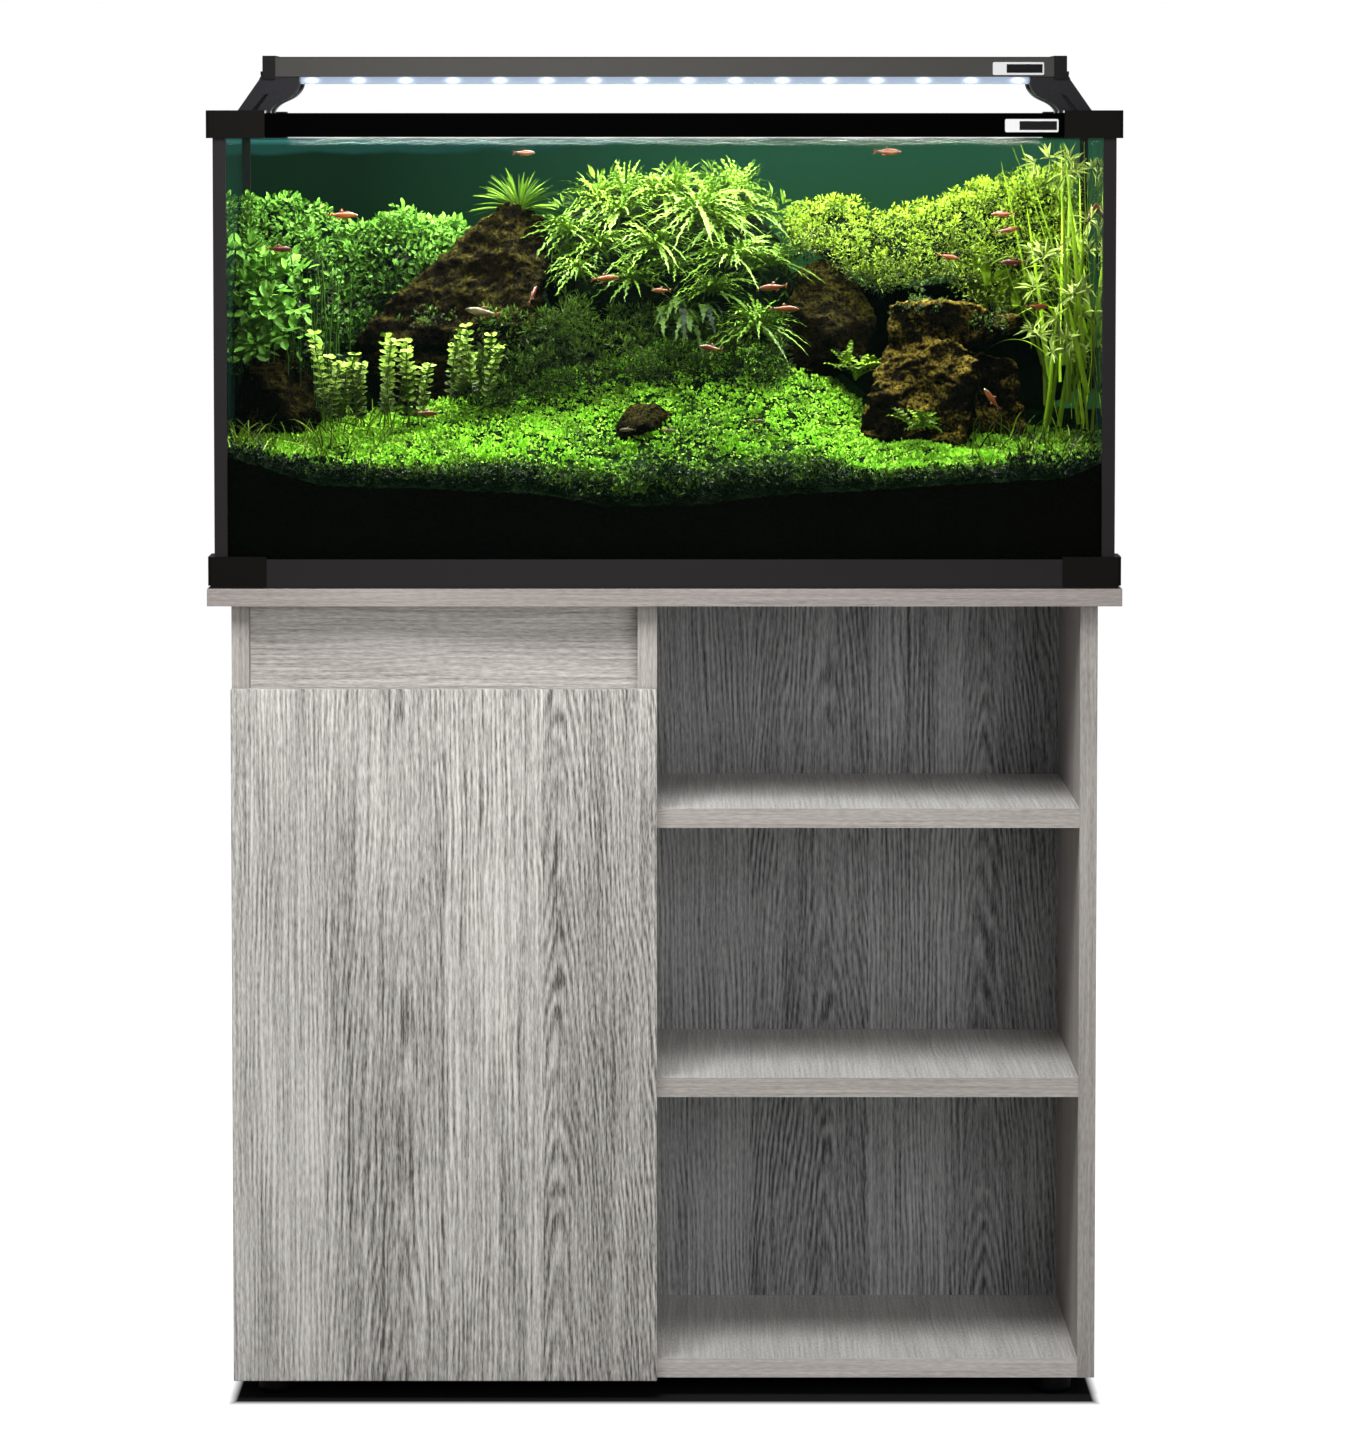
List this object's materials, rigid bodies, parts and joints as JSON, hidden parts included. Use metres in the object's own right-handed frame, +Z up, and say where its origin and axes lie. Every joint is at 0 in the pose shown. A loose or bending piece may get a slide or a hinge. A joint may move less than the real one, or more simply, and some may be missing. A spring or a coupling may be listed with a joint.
{
  "type": "aquarium on stand",
  "caption": "Rimmed glass aquarium with planted layout, slim lamp on sliding legs, on a grey wood cabinet with one door and open shelf bays.",
  "frame": {"origin": "on the floor, under the middle of the top board, which is the bottom centre of the bounding box", "axes": "+X to the right seen from the front, +Y from the front to the back, +Z up; the door faces -Y"},
  "size_m": [0.843, 0.366, 1.2465],
  "materials": {
    "grey_wood": "grey oak decor on chipboard, satin, grain along the board",
    "fascia_wood": "grey oak decor on chipboard, satin, grain across",
    "door_wood": "light grey oak decor on chipboard, satin, upright grain",
    "dark_wood": "charcoal oak decor on thin board, matt",
    "black_plastic": "moulded, fine texture",
    "zinc_steel": "zinc plated",
    "nickel": "nickel plated",
    "beech": "fluted beech, raw",
    "white_plastic": "moulded, smooth",
    "clear_rubber": "translucent, soft",
    "foam_mat": "closed-cell foam, matt",
    "frame_plastic": "extruded, satin",
    "cap_plastic": "moulded, satin",
    "tank_glass": "float glass, polished edges",
    "black_silicone": "smooth bead",
    "film": "printed film, dark green, satin",
    "badge_metal": "brushed, blank",
    "soil": "granular aquarium soil, wet",
    "rock": "rough lava rock, wet",
    "carpet_green": "dense small leaves",
    "leaf_green": "thin leaves",
    "bush_green": "dense small leaves",
    "moss_green": "feathery moss",
    "lamp_metal": "anodised dark grey, satin",
    "lens": "frosted diffuser",
    "board_white": "white solder mask",
    "led_light": "lit, cool white",
    "leg_plastic": "moulded, satin"
  },
  "bodies": {
    "root": {"back_panel_left": "dark_wood", "back_panel_pins": "zinc_steel", "back_panel_right": "dark_wood", "background_film": "film", "bottom_board": "grey_wood", "bottom_corner_caps": "cap_plastic", "bottom_frame_end_bars": "frame_plastic", "bottom_frame_long_bars": "frame_plastic", "bushy_plants": "bush_green", "cabinet_screws": "zinc_steel", "cam_bolts": "zinc_steel", "cam_locks": "zinc_steel", "carpet_plants": "carpet_green", "catch_magnet": "white_plastic", "corner_trims": "frame_plastic", "divider_panel": "grey_wood", "fascia_rail": "fascia_wood", "feet": "black_plastic", "frame_badge": "badge_metal", "glass_bottom": "tank_glass", "glass_front": "tank_glass", "glass_left": "tank_glass", "glass_rear": "tank_glass", "glass_right": "tank_glass", "grass_plants": "leaf_green", "hinge_arms": "nickel", "hinge_pins": "zinc_steel", "levelling_mat": "foam_mat", "main_rock": "rock", "moss_clumps": "moss_green", "rosette_plants": "leaf_green", "shelf_lower": "grey_wood", "shelf_upper": "grey_wood", "side_panel_left": "grey_wood", "side_panel_right": "grey_wood", "silicone_seams": "black_silicone", "smaller_rocks": "rock", "soil_bed": "soil", "stem_plants": "leaf_green", "top_board": "grey_wood", "top_corner_caps": "cap_plastic", "top_frame_end_bars": "frame_plastic", "top_frame_long_bars": "frame_plastic", "wood_dowels": "beech"},
    "door": {"door_panel": "door_wood", "hinge_cups": "nickel", "door_screws": "zinc_steel", "strike_plate": "zinc_steel", "door_bumpers": "clear_rubber"},
    "lamp": {"lamp_housing": "lamp_metal", "lamp_end_caps": "cap_plastic", "lamp_screws": "zinc_steel", "lamp_lens": "lens", "led_board": "board_white", "leds": "led_light", "cable_gland": "black_plastic", "lamp_badge": "badge_metal"},
    "left_leg": {"leg_left": "leg_plastic"},
    "right_leg": {"leg_right": "leg_plastic"}
  },
  "joints": [
    {"name": "door_hinge", "type": "hinge", "parent": "root", "child": "door", "pos_m": [-0.394, -0.1715, 0.34], "axis": [0, 0, -1], "range_deg": [0, 95]},
    {"name": "lamp_lift", "type": "slide", "parent": "root", "child": "lamp", "axis": [0, 0, 1], "range_m": [0, 0.15]},
    {"name": "leg_left_slide", "type": "slide", "parent": "lamp", "child": "left_leg", "axis": [-1, 0, 0], "range_m": [-0.006, 0.014]},
    {"name": "leg_right_slide", "type": "slide", "parent": "lamp", "child": "right_leg", "axis": [1, 0, 0], "range_m": [-0.006, 0.014]}
  ]
}
